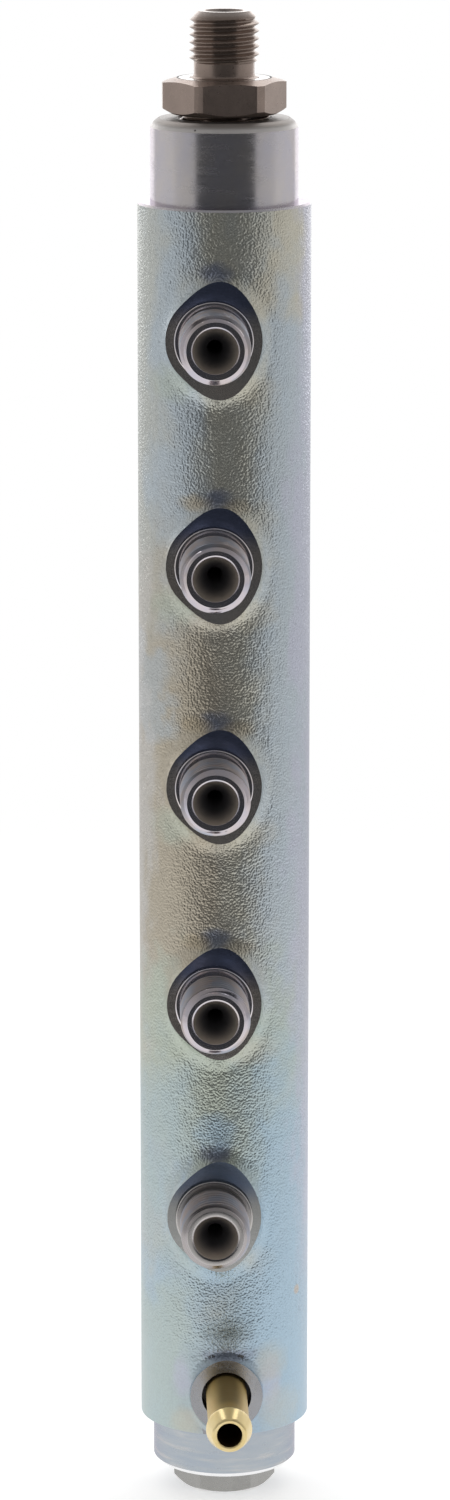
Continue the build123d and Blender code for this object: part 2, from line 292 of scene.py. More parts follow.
# Finishes, worked out from the object's own coordinates in mm. A noise is given as its stretch
# along x, y and z, spots per mm, detail, roughness and distortion. A spread is given as where
# it starts and is full, and what it is there, where that isn't 0 and 1
evenly = (1, 1, 1)
noiseReach = (0.3, 0.7)         # nearly all values of a noise lie between these
soft = {
    "patch": (2.4, 0.2),        # squared distance, in sizes of the patch
    "ragged": 2.0,              # how much of the ragged noise is added to that
    "spotCore": 0.5,            # share of a spot's reach
}


def newFinish(name, roughness, metallic):
    mat = bpy.data.materials.new(name)
    mat.use_nodes = True
    shader = mat.node_tree.nodes["Principled BSDF"]
    shader.inputs["Metallic"].default_value = metallic
    shader.inputs["Roughness"].default_value = roughness
    return mat, mat.node_tree, shader


def objectPoint(tree, stretch=evenly):
    place = addNode(tree, "ShaderNodeTexCoord", {})["Object"]
    scale = Vector([share / mm for share in stretch])
    return addNode(tree, "ShaderNodeVectorMath", {0: place, 1: scale}, operation="MULTIPLY")[0]


def noiseAt(tree, vector, perMm, detail, roughness=0.5, distortion=0.0):
    return addNode(tree, "ShaderNodeTexNoise", {
        "Vector": vector, "Scale": perMm, "Detail": detail, "Roughness": roughness, "Distortion": distortion,
    })["Fac"]


def noiseOf(tree, stretch, *settings):
    return noiseAt(tree, objectPoint(tree, stretch), *settings)


def rampOf(tree, factor, stops):
    ramp = tree.nodes.new("ShaderNodeValToRGB")
    points = ramp.color_ramp.elements
    while len(points) < len(stops):
        points.new(0.5)
    for point, (place, colour) in zip(points, stops):
        point.position = place
        point.color = (*colour, 1)
    tree.links.new(factor, ramp.inputs["Fac"])
    return ramp.outputs["Color"]


def bumpOf(tree, height, depthMm, under=None):
    inputs = {"Strength": 1.0, "Distance": depthMm * mm, "Height": height}
    if under is not None:
        inputs["Normal"] = under
    return addNode(tree, "ShaderNodeBump", inputs)[0]


def dress(tree, shader, look, tint, marks, rougher=None):
    # the roughness and the relief follow the marks, a noise
    tree.links.new(tint, shader.inputs["Base Color"])
    if "roughness" in look:
        roughness = spreadOf(tree, marks, *noiseReach, *look["roughness"])
        if rougher is not None:
            roughness = combine(tree, "ADD", roughness, rougher)
        tree.links.new(roughness, shader.inputs["Roughness"])
    if "depth" in look:
        tree.links.new(bumpOf(tree, marks, look["depth"]), shader.inputs["Normal"])


def betweenOf(tree, value, rise, fall):
    # full after the rise and, where there is one, before the fall
    if fall is None:
        return spreadOf(tree, value, *rise)
    return times(tree, spreadOf(tree, value, *rise), spreadOf(tree, value, *fall))


def upFromPortOf(tree, z):
    # height above the middle of the nearest port
    half = places["spacing"] / mm / 2
    up = combine(tree, "SUBTRACT", z, places["firstOutlet"] / mm)
    return addNode(tree, "ShaderNodeMath", {0: up, 1: half, 2: -half}, operation="WRAP")[0]


def patchOf(tree, across, up, centre, size, ragged):
    # soft oval patch, 1 in its middle, with a ragged outline
    squares = []
    for value, middle, reach in zip((across, up), centre, size):
        share = combine(tree, "DIVIDE", combine(tree, "SUBTRACT", value, middle), reach)
        squares.append(times(tree, share, share))
    away = combine(tree, "ADD", combine(tree, "ADD", *squares), times(tree, ragged, soft["ragged"]))
    return spreadOf(tree, away, *soft["patch"])


def spotOf(tree, place, reach):
    ends = {0: objectPoint(tree), 1: Vector(place)}
    gap = addNode(tree, "ShaderNodeVectorMath", ends, operation="DISTANCE")["Value"]
    return spreadOf(tree, gap, reach, reach * soft["spotCore"])


# Forged skin under zinc: orange peel, with the tints of the passivation, and painted shade in the fillets
# above each port and round the barb's pad
skin = {
    "greyGreen": (0.57, 0.60, 0.575),
    "paleBlue": (0.53, 0.60, 0.655),
    "strongBlue": (0.45, 0.60, 0.72),
    "gold": (0.545, 0.485, 0.385),
    "olive": (0.59, 0.58, 0.50),
    "green": (0.55, 0.61, 0.52),
    "yellow": (0.65, 0.60, 0.47),
    "lilac": (0.58, 0.59, 0.70),
    "rust": (0.66, 0.50, 0.36),
    "ochre": (0.52, 0.44, 0.31),
    "silver": (0.70, 0.69, 0.68),
    "navy": (0.27, 0.30, 0.39),
    "shadeAbovePad": (0.20, 0.235, 0.235),
    "nickBlack": (0.07, 0.06, 0.06),
    "roughness": (0.28, 0.36),
    "cloud": ((1, 1, 0.5), 0.12, 3.0, 0.6, 0.4),
    "cloudTints": [(0.38, "paleBlue"), (0.50, "greyGreen"), (0.62, "olive")],
    # how far noise pushes a place about, in mm, and that noise
    "sideWander": (14.0, (1, 1, 0.6), 0.10, 3.0, 0.6),
    "upWander": (50.0, (1.2, 1, 1), 0.08, 3.0, 0.6),
    "fields": [
        # tint, strength, x where it starts and is full, z where it starts and is full (twice)
        ("olive", 0.75, (12.0, 2.0), (60.0, 100.0), None),
        ("paleBlue", 0.95, (-2.0, -10.0), (150.0, 185.0), None),
        ("paleBlue", 0.9, (3.0, 11.0), (-20.0, -10.0), None),
        ("gold", 0.9, (6.0, -6.0), (82.0, 104.0), (200.0, 156.0)),
        ("olive", 0.6, (-11.0, -16.0), (150.0, 190.0), None),
        ("yellow", 0.8, (4.0, 9.0), (226.0, 244.0), None),
        ("green", 0.8, (-20.0, -15.0), (45.0, 60.0), (104.0, 88.0)),
        ("strongBlue", 0.45, (-3.0, -13.0), (88.0, 66.0), None),
        ("strongBlue", 0.85, (-1.0, 9.0), (98.0, 62.0), None),
        ("strongBlue", 0.6, (-30.0, -25.0), (46.0, 30.0), None),
        ("green", 0.5, (-1.0, -10.0), (40.0, 24.0), None),
        ("lilac", 0.8, (12.0, 16.0), (20.0, 50.0), None),
        ("paleBlue", 0.6, (-5.0, -11.0), (146.0, 154.0), (166.0, 158.0)),
        ("silver", 0.6, (-13.5, -16.5), (82.0, 104.0), (200.0, 156.0)),
    ],
    "patches": [
        # from a port's middle, size, tint, strength, z where it starts and is full (twice)
        # painted shade: the navy patch above each port stands for the dark reflection in the fillet over the
        # flat
        ((0.5, 13.1), (3.0, 2.0), "navy", 0.95, (30.0, 50.0), None),
        ((-3.6, 12.4), (3.0, 1.6), "ochre", 0.7, (80.0, 104.0), (215.0, 190.0)),
        ((4.6, 11.6), (3.0, 1.6), "ochre", 0.5, (80.0, 104.0), (215.0, 190.0)),
        ((0.5, 17.5), (4.0, 3.6), "strongBlue", 0.8, (30.0, 50.0), (90.0, 80.0)),
        ((10.5, -2.0), (2.5, 7.0), "strongBlue", 0.7, (30.0, 40.0), (80.0, 70.0)),
        ((-8.0, -9.0), (4.0, 3.5), "green", 0.6, (30.0, 50.0), None),
        ((7.0, -10.0), (5.0, 3.0), "yellow", 0.4, (30.0, 50.0), None),
        ((9.5, 8.0), (3.0, 4.0), "yellow", 0.6, (180.0, 200.0), None),
    ],
    "padPatches": [
        # from the middle of the barb's pad, size, tint, strength
        # painted shade: the navy ring, the lilac sides and the shade above the pad stand for the dark fillet
        # round the pad; the rest are stains
        ((0.0, 0.0), (9.5, 10.5), "navy", 0.4),
        ((0.0, 17.0), (5.5, 7.5), "shadeAbovePad", 0.2),
        ((0.2, 13.4), (4.6, 2.6), "shadeAbovePad", 0.55),
        ((0.4, 13.3), (2.6, 1.2), "shadeAbovePad", 0.8),
        ((0.4, 8.4), (4.6, 1.3), "navy", 0.75),
        ((-9.0, 3.0), (1.8, 4.5), "lilac", 0.6),
        ((9.2, 1.5), (1.8, 5.5), "lilac", 0.6),
        ((0.0, 26.0), (5.0, 2.6), "strongBlue", 0.6),
        ((-8.0, -6.5), (3.2, 3.0), "yellow", 0.5),
        ((10.8, -4.5), (4.0, 4.5), "greyGreen", 0.6),
        ((9.0, 6.0), (3.0, 4.0), "olive", 0.5),
    ],
    "ragged": (evenly, 0.35, 3.0, 0.6),
    "raggedFrom": 0.3,
    "front": (-4.0, -10.0),                 # y where the patches start and are full
    # the painted shade above the pad is deepest where the grain is low
    "shadeAbovePadInGrain": (0.62, 0.40, 0.55, 1.0),
    "speck": (0.35, 0.62, 0.95, 1.02),
    "rustSpot": ((14.4, -9.0, 28.4), 1.3),
    "rustShare": 0.6,
    "nick": ((0.15, -17.2, 249.8), 0.4),
    "grain": (evenly, 2.4, 0.0),
    "grainDepth": 0.17,
    # the grain's depth by z, dying out round the barb's pad, and by x
    "grainByHeight": [(8.0, 26.0, 0.25, 1.0), (80.0, 130.0, 0.85, 1.0)],
    "grainBySide": (4.0, 11.0, 1.1, 0.9),
    "wave": (evenly, 0.22, 2.0),
    "waveDepth": 0.2,
}


def forgedZinc():
    mat, tree, shader = newFinish("forgedZinc", roughness=0.3, metallic=0.8)
    x, y, z = axesOf(tree, objectPoint(tree))

    def wander(value, reach, *noise):
        # a noise is 0.5 on average
        moved = combine(tree, "SUBTRACT", noiseOf(tree, *noise), 0.5)
        return combine(tree, "ADD", value, times(tree, moved, reach))

    # mixes a tint in, which is a stain or, for the shade patches, painted shade
    def stain(tint, share, strength, name):
        return mixColours(tree, times(tree, share, strength), tint, skin[name])

    stops = [(stop, skin[name]) for stop, name in skin["cloudTints"]]
    tint = rampOf(tree, noiseOf(tree, *skin["cloud"]), stops)
    across = wander(x, *skin["sideWander"])
    up = wander(z, *skin["upWander"])
    for name, strength, sideways, rise, fall in skin["fields"]:
        share = times(tree, spreadOf(tree, across, *sideways), betweenOf(tree, up, rise, fall))
        tint = stain(tint, share, strength, name)

    # stains that come back at every port, and those round the barb's pad, with painted shade above each port
    # and round the pad among them
    ragged = combine(tree, "SUBTRACT", noiseOf(tree, *skin["ragged"]), skin["raggedFrom"])
    front = spreadOf(tree, y, *skin["front"])
    fromPort = combine(tree, "SUBTRACT", x, places["outletSide"] / mm)
    upFromPort = upFromPortOf(tree, z)
    for centre, size, name, strength, rise, fall in skin["patches"]:
        patch = times(tree, patchOf(tree, fromPort, upFromPort, centre, size, ragged), front)
        tint = stain(tint, times(tree, patch, betweenOf(tree, z, rise, fall)), strength, name)
    grain = noiseOf(tree, *skin["grain"])
    hollows = spreadOf(tree, grain, *skin["shadeAbovePadInGrain"])
    padHeight = places["barbHeight"] / mm
    for (side, rise), size, name, strength in skin["padPatches"]:
        patch = times(tree, patchOf(tree, x, z, (side, rise + padHeight), size, ragged), front)
        # painted shade above the pad, deepest in the grain's hollows
        if name == "shadeAbovePad":
            patch = times(tree, patch, hollows)
        tint = stain(tint, patch, strength, name)

    tint = mixColours(tree, 1.0, tint, spreadOf(tree, grain, *skin["speck"]), "MULTIPLY")
    tint = stain(tint, spotOf(tree, *skin["rustSpot"]), skin["rustShare"], "rust")
    tint = mixColours(tree, spotOf(tree, *skin["nick"]), tint, skin["nickBlack"])
    dress(tree, shader, skin, tint, grain)
    fades = [spreadOf(tree, z, *fade) for fade in skin["grainByHeight"]]
    relief = times(tree, grain, *fades, spreadOf(tree, x, *skin["grainBySide"]))
    wave = bumpOf(tree, noiseOf(tree, *skin["wave"]), skin["waveDepth"])
    tree.links.new(bumpOf(tree, relief, skin["grainDepth"], wave), shader.inputs["Normal"])
    return mat


# Turned journals, faintly purple at the upper end and bluish at the lower one, with painted shade in the
# corner under the lower shoulder
journalLook = {
    "glancing": (0.80, 0.77, 0.82),
    "stain": ((1, 1, 0.6), 0.16, 4.0, 0.65),
    "upper": [(0.35, (0.60, 0.58, 0.63)), (0.65, (0.66, 0.62, 0.61))],
    "bands": ((0.25, 0.25, 2.2), 0.3, 3.0, 0.6),
    "lower": [(0.38, (0.43, 0.48, 0.54)), (0.55, (0.47, 0.51, 0.55)), (0.68, (0.56, 0.57, 0.58))],
    "ends": (120.0, 140.0),
    # painted shade in the corner under the lower shoulder
    "shoulderShade": (0.22, 0.22, 0.25),             # in the corner under the lower shoulder
    "shoulderShadeBetween": ((-1.05, -0.65), (0.02, -0.15)),
    "rings": ((0.01, 0.01, 1), 3.5, 2.0, 0.7),
    "depth": 0.0006,            # of the relief, here and below, in mm
    "roughness": (0.17, 0.24),
    "scuffs": ((0.5, 0.5, 2.0), 0.4, 3.0, 0.6),
    "scuffed": (0.45, 0.7, 0.0, 0.06),
}


def journalZinc():
    look = journalLook
    mat, tree, shader = newFinish("turnedJournal", roughness=0.2, metallic=0.92)
    feed(tree, shader.inputs["Specular Tint"], look["glancing"])
    z = axesOf(tree, objectPoint(tree))[2]
    upper = rampOf(tree, noiseOf(tree, *look["stain"]), look["upper"])
    lower = rampOf(tree, noiseOf(tree, *look["bands"]), look["lower"])
    tint = mixColours(tree, spreadOf(tree, z, *look["ends"]), lower, upper)
    # painted shade under the lower shoulder
    tint = mixColours(tree, betweenOf(tree, z, *look["shoulderShadeBetween"]), tint, look["shoulderShade"])
    scuffs = spreadOf(tree, noiseOf(tree, *look["scuffs"]), *look["scuffed"])
    dress(tree, shader, look, tint, noiseOf(tree, *look["rings"]), scuffs)
    return mat


# Rounded corner and end face of the upper journal: duller, with lathe rings, a nick, and painted shade of
# the hexagon on the end face
cornerLook = {
    "rings": (3.0, 2.0, 0.7),
    "tints": [(0.35, (0.54, 0.52, 0.51)), (0.65, (0.70, 0.66, 0.64))],
    "roughness": (0.32, 0.40),
    "hexShadeFrom": (265.0, 265.8),          # painted shade darkens the end face round the hexagon
    "hexShade": (0.40, 0.375, 0.355),
    "nick": ((-6.0, -13.0, 265.1), 0.28),
    "nickTint": (0.10, 0.09, 0.09),
}


def brushedCorner():
    look = cornerLook
    mat, tree, shader = newFinish("brushedCorner", roughness=0.36, metallic=0.7)
    z = axesOf(tree, objectPoint(tree))[2]
    fromAxis = lengthOf(tree, objectPoint(tree, (1, 1, 0)))
    rings = noiseAt(tree, combine(tree, "SUBTRACT", fromAxis, z), *look["rings"])
    tint = rampOf(tree, rings, look["tints"])
    # painted shade: the end face is darkened round the hexagon
    tint = mixColours(tree, spreadOf(tree, z, *look["hexShadeFrom"]), tint, look["hexShade"], "MULTIPLY")
    tint = mixColours(tree, spotOf(tree, *look["nick"]), tint, look["nickTint"])
    dress(tree, shader, look, tint, rings)
    return mat


# Flats between a boss and its nipple: smooth, with painted shade making them dark above the collar, greyer
# below. The flat of the lowest port differs from the rest
flatLook = {
    "cloud": (evenly, 0.12, 2.0),
    "grey": [(0.3, (0.50, 0.48, 0.46)), (0.7, (0.55, 0.50, 0.45))],
    # painted shade above the collar, here and for the lowest flat
    "dark": (0.135, 0.16, 0.25),
    "darkFrom": (1.5, 7.5),
    "lowest": (70.0, 60.0),
    "lowestGrey": (0.41, 0.415, 0.405),
    "lowestDark": (0.20, 0.25, 0.34),
    "sweep": ((0.3, 1, 1.6), 2.2, 2.0),
    "depth": 0.0015,
    "roughness": (0.16, 0.24),
}


def milledSteel():
    look = flatLook
    mat, tree, shader = newFinish("milledFlat", roughness=0.2, metallic=0.86)
    z = axesOf(tree, objectPoint(tree))[2]
    upFromPort = upFromPortOf(tree, z)
    lowest = spreadOf(tree, z, *look["lowest"])
    grey = rampOf(tree, noiseOf(tree, *look["cloud"]), look["grey"])
    grey = mixColours(tree, lowest, grey, look["lowestGrey"])
    # painted shade on the flat above the collar
    dark = mixColours(tree, lowest, look["dark"], look["lowestDark"])
    tint = mixColours(tree, spreadOf(tree, upFromPort, *look["darkFrom"]), grey, dark)
    dress(tree, shader, look, tint, noiseOf(tree, *look["sweep"]))
    return mat


# Nipples: bare turned steel, lilac to faintly pink with fine tool rings, duller on the thread.
# The lowest one is duller and browner than the rest
nippleLook = {
    "stain": (evenly, 0.22, 3.0, 0.6),
    "bare": [(0.35, (0.74, 0.73, 0.80)), (0.5, (0.82, 0.77, 0.80)), (0.66, (0.86, 0.79, 0.77))],
    "thread": [(0.38, (0.47, 0.49, 0.56)), (0.62, (0.56, 0.49, 0.47))],
    "threadBetween": ((-21.4, -21.6), (-30.85, -30.45)),
    "threadRougher": 0.2,
    "chamfer": (0.78, 0.76, 0.78),
    "chamferBetween": ((-30.4, -30.8), (-31.92, -31.86)),
    "lowestFrom": (62.0, 52.0),
    "lowest": (0.53, 0.51, 0.49),
    "lowestShare": 0.85,
    "lowestRougher": 0.13,
    "rings": ((0.02, 1, 0.02), 4.0, 2.0, 0.7),
    "depth": 0.0015,
    "roughness": (0.10, 0.17),
}


def turnedSteel():
    look = nippleLook
    mat, tree, shader = newFinish("turnedNipple", roughness=0.13, metallic=0.985)
    _, y, z = axesOf(tree, objectPoint(tree))
    onThread = betweenOf(tree, y, *look["threadBetween"])
    onChamfer = betweenOf(tree, y, *look["chamferBetween"])
    lowest = spreadOf(tree, z, *look["lowestFrom"])
    stain = noiseOf(tree, *look["stain"])
    bare = rampOf(tree, stain, look["bare"])
    bare = mixColours(tree, times(tree, lowest, look["lowestShare"]), bare, look["lowest"])
    bare = mixColours(tree, onChamfer, bare, look["chamfer"], "MULTIPLY")
    tint = mixColours(tree, onThread, bare, rampOf(tree, stain, look["thread"]))
    rougher = combine(tree, "ADD", times(tree, lowest, look["lowestRougher"]),
                      times(tree, onThread, look["threadRougher"]))
    dress(tree, shader, look, tint, noiseOf(tree, *look["rings"]), rougher)
    return mat


# Cone inside a nipple: brownish at the mouth, with painted shade darkening it down the hole
seatLook = {
    "dull": (evenly, 0.5, 2.0),
    "mouth": [(0.3, (0.44, 0.39, 0.33)), (0.7, (0.50, 0.43, 0.37))],
    "deepFrom": (-31.9, -27.8),
    "deep": (0.16, 0.15, 0.16),
}


def seatSteel():
    mat, tree, shader = newFinish("conicalSeat", roughness=0.36, metallic=0.8)
    # painted shade down the hole
    deep = spreadOf(tree, axesOf(tree, objectPoint(tree))[1], *seatLook["deepFrom"])
    mouth = rampOf(tree, noiseOf(tree, *seatLook["dull"]), seatLook["mouth"])
    tree.links.new(mixColours(tree, deep, mouth, seatLook["deep"]), shader.inputs["Base Color"])
    return mat


# Both threads of the adapter: brown phosphate, worn bright at the stub's mouth
threadLook = {
    "cloud": (evenly, 0.25, 3.0, 0.6),
    "tints": [(0.35, (0.29, 0.23, 0.195)), (0.70, (0.33, 0.26, 0.225))],
    "wornFrom": (285.9, 286.9),
    "worn": (0.50, 0.43, 0.395),
    "fine": (evenly, 2.0, 2.0, 0.6),
    "depth": 0.003,
    "roughness": (0.19, 0.26),
}


def phosphatedThread():
    look = threadLook
    mat, tree, shader = newFinish("phosphatedThread", roughness=0.22, metallic=0.88)
    tint = rampOf(tree, noiseOf(tree, *look["cloud"]), look["tints"])
    worn = spreadOf(tree, axesOf(tree, objectPoint(tree))[2], *look["wornFrom"])
    dress(tree, shader, look, mixColours(tree, worn, tint, look["worn"]), noiseOf(tree, *look["fine"]))
    return mat


# Barb: smooth and pale on the turned bead, duller on the drawn tube, which painted shade and
# reflection darken along its top, most towards the pad
brassLook = {
    "cloud": ((1, 0.3, 1), 0.35, 2.0),
    "tube": [(0.35, (0.95, 0.66, 0.24)), (0.65, (0.98, 0.73, 0.31))],
    "bead": [(0.35, (0.95, 0.74, 0.34)), (0.65, (0.97, 0.79, 0.41))],
    "beadFrom": (-35.9, -36.4),
    # painted shade and reflection along the tube's top
    "tubeShade": (0.33, 0.23, 0.09),
    "tubeShadeShare": 0.85,
    "tubeShadeAcross": ((-3.2, -1.0), (3.4, 1.4, 0.1, 1.0)),
    "tubeShadeUp": (7.0, 10.0),
    "tubeShadeAlong": (-35.0, -31.0, 0.55, 1.0),
    "rings": ((0.02, 1, 0.02), 3.0, 2.0, 0.7),
    "depth": 0.001,
    "roughness": (0.17, 0.24),
    "tubeRougher": (-36.4, -35.9, 0.0, 0.13),
}


def drawnBrass():
    look = brassLook
    mat, tree, shader = newFinish("drawnBrass", roughness=0.22, metallic=0.5)
    x, y, z = axesOf(tree, objectPoint(tree))
    cloud = noiseOf(tree, *look["cloud"])
    # painted shade and reflection: the tube darkened along its top, most towards the pad
    tubeShade = times(tree, betweenOf(tree, x, *look["tubeShadeAcross"]), spreadOf(tree, z, *look["tubeShadeUp"]),
                    spreadOf(tree, y, *look["tubeShadeAlong"]), look["tubeShadeShare"])
    tube = mixColours(tree, tubeShade, rampOf(tree, cloud, look["tube"]), look["tubeShade"])
    bead = rampOf(tree, cloud, look["bead"])
    tint = mixColours(tree, spreadOf(tree, y, *look["beadFrom"]), tube, bead)
    dress(tree, shader, look, tint, noiseOf(tree, *look["rings"]), spreadOf(tree, y, *look["tubeRougher"]))
    return mat


rubberLook = {
    "fine": (evenly, 6.0, 2.0),
    "depth": 0.01,
    "tints": [(0.3, (0.018, 0.018, 0.018)), (0.7, (0.035, 0.034, 0.033))],
}


def blackRubber():
    mat, tree, shader = newFinish("blackRubber", roughness=0.6, metallic=0.0)
    fine = noiseOf(tree, *rubberLook["fine"])
    dress(tree, shader, rubberLook, rampOf(tree, fine, rubberLook["tints"]), fine)
    return mat


# Metal without marks of its own: a faint cloud of darker and lighter tint, and fine grain
plainLook = {
    "stops": (0.35, 0.52, 0.7),
    "cloud": (3.0, 0.6),
    "finer": 8,                 # the grain has so many more spots per mm
    "fine": (2.0, 0.6),
    "roughness": (0.85, 1.2),   # shares of the roughness given
}


def plainMetal(name, colour, roughness, spotsPerMm=0.5, depth=0.004, metallic=1.0, even=0.9):
    mat, tree, shader = newFinish(name, roughness, metallic)
    darker = tuple(share * even for share in colour)
    lighter = tuple(min(1.0, share * (2 - even)) for share in colour)
    cloud = noiseOf(tree, evenly, spotsPerMm, *plainLook["cloud"])
    tint = rampOf(tree, cloud, list(zip(plainLook["stops"], (darker, colour, lighter))))
    fine = noiseOf(tree, evenly, spotsPerMm * plainLook["finer"], *plainLook["fine"])
    look = {"roughness": [share * roughness for share in plainLook["roughness"]], "depth": depth}
    dress(tree, shader, look, tint, fine)
    return mat


finishes = {
    "forged": forgedZinc(),
    "milled": milledSteel(),
    "journal": journalZinc(),
    "corner": brushedCorner(),
    "nipple": turnedSteel(),
    "cone": seatSteel(),
    "stub": phosphatedThread(),
    "brass": drawnBrass(),
    "rubber": blackRubber(),
    # name, colour, roughness, and where they differ spots per mm, depth of the grain in mm,
    # metallic and evenness
    "bore": plainMetal("drilledBore", (0.30, 0.28, 0.27), 0.35),
    "pad": plainMetal("facedPad", (0.36, 0.365, 0.385), 0.24, 0.12, 0.0003, 0.9, 0.93),
    # painted shade inside the barb's recess and in the groove round the hexagon's faced ring
    "recess": plainMetal("recessShade", (0.05, 0.05, 0.05), 0.4, 0.5, 0.002, 0.8),
    # painted highlight: the lower chamfer made brighter than the steel it is cut in
    "edge": plainMetal("paintedHighlightEdge", (0.93, 0.93, 0.94), 0.16, 0.3, 0.001, 1.0, 0.97),
    "adapter": plainMetal("brownPhosphate", (0.37, 0.29, 0.25), 0.32, 0.25, 0.003, 0.85, 0.93),
    "adapterTop": plainMetal("facedHexagon", (0.66, 0.63, 0.60), 0.20, 0.3, 0.001),
    # painted shade down the barb's bore
    "brassBore": plainMetal("brassBore", (0.16, 0.10, 0.04), 0.4, 0.3, 0.001, 0.9, 0.95),
    "plug": plainMetal("satinZinc", (0.37, 0.365, 0.35), 0.28, 0.12, 0.0005, 0.85, 0.95),
    "hardened": plainMetal("groundSteel", (0.55, 0.55, 0.57), 0.22),
    "spring": plainMetal("oiledSpringWire", (0.26, 0.27, 0.29), 0.35),
}
print("finishes mixed")


# Mesh helpers
roundSides = 96
weld = 0.001 * mm
threadWeld = 0.0005 * mm
coneHalf = radians(30)          # half the angle of the M14 cones
pitch = 1.5 * mm                # of all threads, M14 and M18
spareTurns = 2                  # of a thread's mesh, at both ends
threadShape = [
    # share of a pitch along the axis, share of a pitch below the crest
    (-0.10, 0.08), (-0.08, 0.05), (-0.04, 0.012), (0.0, 0.0), (0.04, 0.012), (0.08, 0.05), (0.10, 0.08),
    (0.34, 0.485), (0.36, 0.52), (0.42, 0.575), (0.5, 0.595), (0.58, 0.575), (0.64, 0.52), (0.66, 0.485),
]


def copyOfNode(nodeName, pieceName):
    obj = bpy.data.objects.new(pieceName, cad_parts[nodeName].data.copy())
    bpy.context.collection.objects.link(obj)
    return obj


def cutAway(obj, unwanted):
    mesh = bmesh.new()
    mesh.from_mesh(obj.data)
    doomed = [face for face in mesh.faces if unwanted(face)]
    bmesh.ops.delete(mesh, geom=doomed, context="FACES")
    mesh.to_mesh(obj.data)
    mesh.free()


def giveFinishes(obj, names, choose):
    # choose(face) says which of the names a face gets
    obj.data.materials.clear()
    for name in names:
        obj.data.materials.append(finishes[name])
    for face in obj.data.polygons:
        face.material_index = names.index(choose(face))


def turnSurface(mesh, place, outline, finish=0, sides=roundSides):
    rings = []
    for radius, along in outline:
        ring = []
        for step in range(sides):
            angle = tau * step / sides
            ring.append(mesh.verts.new(place @ Vector((radius * cos(angle), radius * sin(angle), along))))
        rings.append(ring)
    for low, high in zip(rings, rings[1:]):
        for step in range(sides):
            after = (step + 1) % sides
            face = mesh.faces.new((low[step], low[after], high[after], high[step]))
            face.material_index = finish


def screwSurface(mesh, place, blank, crest, start, end, crestAt):
    # a right-hand thread: every row of the mesh follows the helix, cut off by the blank's outline
    firstTurn = int((start - crestAt) / pitch) - spareTurns
    turns = int((end - start) / pitch) + 2 * spareTurns + 1
    rows = []
    for turn in range(firstTurn, firstTurn + turns):
        for share, drop in threadShape:
            row = []
            for step in range(roundSides + 1):
                angle = tau * step / roundSides
                along = crestAt + pitch * (turn + share + step / roundSides)
                along = min(max(along, start), end)
                radius = min(crest - drop * pitch, blank(along))
                corner = place @ Vector((radius * cos(angle), radius * sin(angle), along))
                row.append((along, mesh.verts.new(corner)))
            rows.append(row)
    for low, high in zip(rows, rows[1:]):
        for step in range(roundSides):
            corners = [low[step], low[step + 1], high[step + 1], high[step]]
            heights = [along for along, _ in corners]
            if min(heights) < end and max(heights) > start:
                mesh.faces.new([vert for _, vert in corners])
    loose = [vert for vert in mesh.verts if not vert.link_faces]
    bmesh.ops.delete(mesh, geom=loose, context="VERTS")
    bmesh.ops.remove_doubles(mesh, verts=mesh.verts, dist=threadWeld)


def roundedCorner(before, corner, after, radius, steps=5):
    # points of an arc that takes the corner off an outline
    into = (Vector(corner) - Vector(before)).normalized()
    outOf = (Vector(after) - Vector(corner)).normalized()
    turn = into.angle(outOf)
    cut = radius * tan(turn / 2)
    start, end = Vector(corner) - into * cut, Vector(corner) + outOf * cut
    centre = start + (outOf - into * cos(turn)).normalized() * radius
    points = []
    for step in range(steps + 1):
        share = step / steps
        arm = (start - centre) * sin((1 - share) * turn) + (end - centre) * sin(share * turn)
        points.append(tuple(centre + arm / sin(turn)))
    return points


def meshPiece(name, build, finishNames, sharpFrom=32.0):
    # faces that meet at more than sharpFrom degrees keep a sharp edge
    mesh = bmesh.new()
    build(mesh)
    data = bpy.data.meshes.new(name)
    mesh.to_mesh(data)
    mesh.free()
    data.shade_smooth()
    data.set_sharp_from_angle(angle=radians(sharpFrom))
    for finishName in finishNames:
        data.materials.append(finishes[finishName])
    obj = bpy.data.objects.new(name, data)
    bpy.context.collection.objects.link(obj)
    return obj


def joinInto(obj, others):
    with bpy.context.temp_override(active_object=obj, selected_editable_objects=[obj, *others]):
        bpy.ops.object.join()


def outOfFront(x, y, z):
    # turned parts are drawn along z, and the nipples and the barb point out of the front
    return Matrix.Translation((x, y, z)) @ Matrix.Rotation(pi / 2, 4, "X")


# Nipple: a real M14 thread, a chamfered face and a cone mouth
nipple = {
    # radii, and heights from the collar's face to the tip
    "collar": 7.8 * mm,
    "collarFoot": -1.3 * mm,
    "shank": 6.75 * mm,
    "root": 5.9 * mm,
    "threadStart": 2.3 * mm,
    "runIn": 1.5,               # how steeply the thread rises from the shank
    "crest": 6.925 * mm,
    "tip": 12.75 * mm,
    "chamfer": 1.3 * mm,
    "chamferAngle": radians(45),
    "mouth": 4.78 * mm,
    "seat": 4.47 * mm,
    "leadIn": 0.145 * mm,
    "drill": 1.5 * mm,
    "crestAt": (0.3, 0.37),     # mm, on the lowest nipple, and what each further one adds
    "collarRound": 0.4 * mm,
    "mouthRound": 0.15 * mm,
    "faceRound": 0.15 * mm,
}


def nippleBlank(along):
    # radius of the turned blank, before the thread is cut
    runIn = nipple["shank"] + max(0.0, along - nipple["threadStart"]) * nipple["runIn"]
    runOut = nipple["crest"] + min(0.0, nipple["tip"] - nipple["chamfer"] - along)
    return min(nipple["crest"], runIn, runOut)


